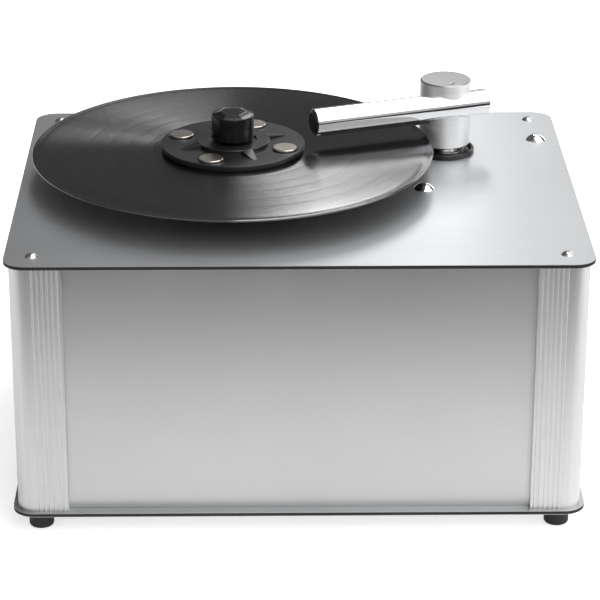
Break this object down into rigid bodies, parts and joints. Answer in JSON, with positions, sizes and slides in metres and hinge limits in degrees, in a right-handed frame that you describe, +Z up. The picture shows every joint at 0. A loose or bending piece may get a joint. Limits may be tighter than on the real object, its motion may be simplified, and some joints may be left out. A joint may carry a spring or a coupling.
{
  "type": "record cleaning machine",
  "caption": "Vacuum record cleaning machine on a square aluminium chassis, with a record under its screw clamp and a swinging suction arm on a turned tower.",
  "frame": {"origin": "on the floor under the middle of the top and bottom plates", "axes": "+Z up, front panel towards -Y, suction arm on the right towards +X"},
  "size_m": [0.415, 0.332, 0.269],
  "materials": {
    "plate_skin": "fine brushed skins on a black core",
    "post_aluminium": "satin anodised extrusion",
    "panel_metal": "fine upright brushing",
    "black_rubber": "matt moulded",
    "screw_steel": "plated",
    "bright_chrome": "polished",
    "black_anodised": "satin black",
    "bearing_steel": "ground",
    "bracket_steel": "grey coated",
    "motor_metal": "zinc plated",
    "brass_metal": "machined",
    "gear_plastic": "moulded acetal",
    "record_vinyl": "pressed, fine grooves",
    "clamp_black": "smooth satin",
    "nickel_metal": "nickel plated",
    "knob_plastic": "moulded",
    "turned_aluminium": "turned and polished",
    "plug_plastic": "moulded",
    "velvet_fabric": "short black pile",
    "spring_steel": "drawn wire",
    "tank_plastic": "milky polyethylene",
    "hose_plastic": "smooth hose",
    "fan_metal": "pressed sheet",
    "board_green": "solder mask",
    "switch_plastic": "fine texture",
    "rocker_plastic": "smooth",
    "clear_tube": "clear soft tube"
  },
  "bodies": {
    "chassis": {"top_plate": "plate_skin", "bottom_plate": "plate_skin", "corner_front_left": "post_aluminium", "corner_front_right": "post_aluminium", "corner_rear_left": "post_aluminium", "corner_rear_right": "post_aluminium", "front_panel": "panel_metal", "rear_panel": "panel_metal", "left_panel": "panel_metal", "right_panel": "panel_metal", "rubber_feet": "black_rubber", "foot_screws": "screw_steel", "top_screws": "screw_steel", "domed_bolts": "bright_chrome", "bolt_nuts": "screw_steel", "bearing_housing": "black_anodised", "shaft_bearings": "bearing_steel", "housing_nut": "screw_steel", "motor_bracket": "bracket_steel", "motor_posts": "screw_steel", "motor_plate": "bracket_steel", "gear_motor": "motor_metal", "arm_collar": "black_anodised", "arm_bushing": "gear_plastic", "return_spring": "spring_steel", "waste_tank": "tank_plastic", "tank_gasket": "black_rubber", "tank_lid": "tank_plastic", "suction_hose": "hose_plastic", "vacuum_motor": "motor_metal", "motor_mount": "black_rubber", "fan_housing": "fan_metal", "fan_cover": "fan_metal", "power_board": "board_green", "mains_inlet": "switch_plastic", "switch_bodies": "switch_plastic", "level_fittings": "switch_plastic", "level_tube": "clear_tube"},
    "platter": {"drive_shaft": "bearing_steel", "drive_gear": "gear_plastic", "platter": "black_anodised", "platter_mat": "black_rubber", "record": "record_vinyl"},
    "pinion": {"motor_pinion": "brass_metal"},
    "clamp": {"clamp_disc": "clamp_black", "clamp_seal": "black_rubber", "clamp_weights": "nickel_metal"},
    "knob": {"clamp_knob": "knob_plastic", "knob_insert": "brass_metal"},
    "arm_carrier": {"swivel_washer": "bearing_steel"},
    "arm": {"arm_tower": "turned_aluminium", "arm_tube": "bright_chrome", "tip_plug": "plug_plastic", "tail_plug": "plug_plastic", "velvet_strips": "velvet_fabric", "down_pipe": "screw_steel", "grub_screw": "screw_steel"},
    "fan": {"fan_wheel": "fan_metal"},
    "platter_rocker": {"platter_rocker": "rocker_plastic"},
    "vacuum_rocker": {"vacuum_rocker": "rocker_plastic"}
  },
  "joints": [
    {"name": "platter_spin", "type": "hinge", "parent": "chassis", "child": "platter", "pos_m": [-0.048, 0.012, 0.16], "axis": [0, 0, 1], "continuous": true},
    {"name": "pinion_spin", "type": "hinge", "parent": "chassis", "child": "pinion", "pos_m": [-0.048, 0.0571, 0.16], "axis": [0, 0, 1], "continuous": true},
    {"name": "clamp_rise", "type": "slide", "parent": "platter", "child": "clamp", "axis": [0, 0, 1], "range_m": [0, 0.006]},
    {"name": "clamp_knob_turn", "type": "hinge", "parent": "clamp", "child": "knob", "pos_m": [-0.048, 0.012, 0.25], "axis": [0, 0, 1], "range_deg": [0, 2160]},
    {"name": "arm_swing", "type": "hinge", "parent": "chassis", "child": "arm_carrier", "pos_m": [0.11551, 0.07151, 0.214], "axis": [0, 0, 1], "range_deg": [-20, 110]},
    {"name": "arm_drop", "type": "slide", "parent": "arm_carrier", "child": "arm", "axis": [0, 0, 1], "range_m": [-0.0054, 0], "stiffness_N_per_m": 600, "springref_m": 0.008, "deforming": ["return_spring"]},
    {"name": "fan_spin", "type": "hinge", "parent": "chassis", "child": "fan", "pos_m": [-0.06, -0.075, 0.09], "axis": [0, 0, 1], "continuous": true},
    {"name": "platter_switch", "type": "hinge", "parent": "chassis", "child": "platter_rocker", "pos_m": [-0.1969, -0.07, 0.16], "axis": [0, 1, 0], "range_deg": [-10, 10]},
    {"name": "vacuum_switch", "type": "hinge", "parent": "chassis", "child": "vacuum_rocker", "pos_m": [-0.1969, -0.105, 0.16], "axis": [0, 1, 0], "range_deg": [0, 16]}
  ],
  "couplings": [
    {"joint": "pinion_spin", "follows": "platter_spin", "ratio": -4},
    {"joint": "clamp_knob_turn", "follows": "clamp_rise", "rad_per_m": 6283.1}
  ]
}
